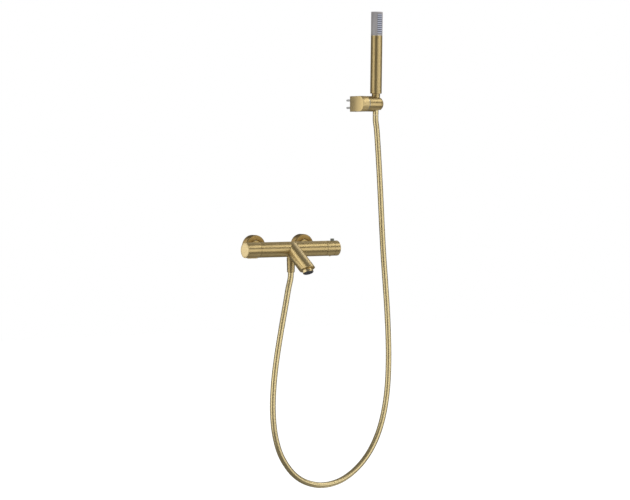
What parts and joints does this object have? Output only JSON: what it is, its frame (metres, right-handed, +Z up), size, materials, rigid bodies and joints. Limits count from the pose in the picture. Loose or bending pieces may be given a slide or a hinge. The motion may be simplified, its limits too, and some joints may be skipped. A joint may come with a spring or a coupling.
{
  "type": "wall mounted bath shower mixer",
  "caption": "Wall mounted thermostatic bath mixer with a sloping spout, end knobs, a hose and a stick hand shower on a swivel wall holder.",
  "frame": {"origin": "on the wall, midway between the two inlets, at the height of the bar's axis", "axes": "+Z up, +Y into the wall, +X to the right when facing the wall"},
  "size_m": [0.4672, 0.2034, 1.2643],
  "materials": {
    "brushed_gold": "brushed gold",
    "bright_gold": "satin gold",
    "hose_gold": "satin gold cover",
    "brass": "machined",
    "copper": "plain",
    "steel": "plain",
    "pale_ring": "satin",
    "plastic": "matte",
    "dark_plastic": "matte",
    "ceramic": "polished",
    "rubber": "matte",
    "spray_grey": "satin",
    "nozzle_grey": "soft",
    "button_grey": "satin"
  },
  "bodies": {
    "mixer": {"mixer_body": "brushed_gold", "left_s_union": "brass", "left_flange": "brushed_gold", "left_union_nut": "brushed_gold", "left_filter_washer": "rubber", "left_check_valve": "plastic", "right_s_union": "brass", "right_flange": "brushed_gold", "right_union_nut": "brushed_gold", "right_filter_washer": "rubber", "right_check_valve": "plastic", "flow_cartridge": "plastic", "flow_lock_ring": "brass", "flow_fixed_disc": "ceramic", "flow_base_seal": "rubber", "thermostat_housing": "plastic", "thermostat_lock_ring": "brass", "thermostat_spring": "steel", "temperature_stop_ring": "plastic", "aerator_housing": "bright_gold", "aerator_insert": "dark_plastic", "aerator_seal": "rubber", "shower_outlet_nipple": "brass", "lower_hose_washer": "rubber", "lower_hose_ferrule": "brass", "lower_hose_nut": "brushed_gold", "shower_hose": "hose_gold", "pivot_bolt": "steel", "pivot_washer": "steel", "friction_ring": "pale_ring", "bracket_block": "brushed_gold", "bracket_wall_plate": "steel", "bracket_screw_upper": "steel", "bracket_screw_lower": "steel", "wall_plug_upper": "dark_plastic", "wall_plug_lower": "dark_plastic", "bracket_grub_screw": "steel"},
    "flow_knob": {"flow_knob": "brushed_gold", "flow_knob_cap": "bright_gold", "flow_knob_screw": "steel", "flow_spindle": "brass", "flow_moving_disc": "ceramic"},
    "temperature_knob": {"temperature_knob": "brushed_gold", "temperature_knob_cap": "bright_gold", "temperature_knob_screw": "steel", "thermostat_spindle": "brass", "safety_button_spring": "steel"},
    "safety_button": {"safety_button": "button_grey"},
    "thermostat_slider": {"thermostat_slider": "plastic", "thermostat_element": "copper"},
    "holder": {"holder_barrel": "brushed_gold", "holder_liner": "dark_plastic"},
    "hose_end": {"upper_hose_sleeve": "bright_gold", "upper_hose_washer": "rubber"},
    "handset": {"handset_tube": "brushed_gold", "handset_connector": "brass", "handset_water_tube": "plastic", "spray_head": "spray_grey", "nozzle_strip": "nozzle_grey", "upper_hose_nut": "brushed_gold"}
  },
  "joints": [
    {"name": "flow_knob_turn", "type": "hinge", "parent": "mixer", "child": "flow_knob", "pos_m": [-0.102, -0.075, 0], "axis": [1, 0, 0], "range_deg": [-90, 90]},
    {"name": "temperature_knob_turn", "type": "hinge", "parent": "mixer", "child": "temperature_knob", "pos_m": [0.102, -0.075, 0], "axis": [1, 0, 0], "range_deg": [-210, 60]},
    {"name": "safety_button_press", "type": "slide", "parent": "temperature_knob", "child": "safety_button", "axis": [0, 0, -1], "range_m": [0, 0.002], "stiffness_N_per_m": 600, "springref_m": -0.001, "deforming": ["safety_button_spring"]},
    {"name": "thermostat_slide", "type": "slide", "parent": "mixer", "child": "thermostat_slider", "axis": [1, 0, 0], "range_m": [-0.0012, 0.0004], "deforming": ["thermostat_spring"]},
    {"name": "holder_tilt", "type": "hinge", "parent": "mixer", "child": "holder", "pos_m": [0.2874, -0.045, 0.383], "axis": [1, 0, 0], "range_deg": [-5, 60], "deforming": ["shower_hose"]},
    {"name": "handset_lift", "type": "slide", "parent": "holder", "child": "hose_end", "axis": [0, -0.0218, 0.9998], "range_m": [0, 0.06]},
    {"name": "handset_turn", "type": "hinge", "parent": "hose_end", "child": "handset", "pos_m": [0.2874, -0.045, 0.383], "axis": [0, -0.0218, 0.9998], "continuous": true}
  ],
  "couplings": [
    {"joint": "thermostat_slide", "follows": "temperature_knob_turn", "m_per_rad": 0.0003}
  ]
}
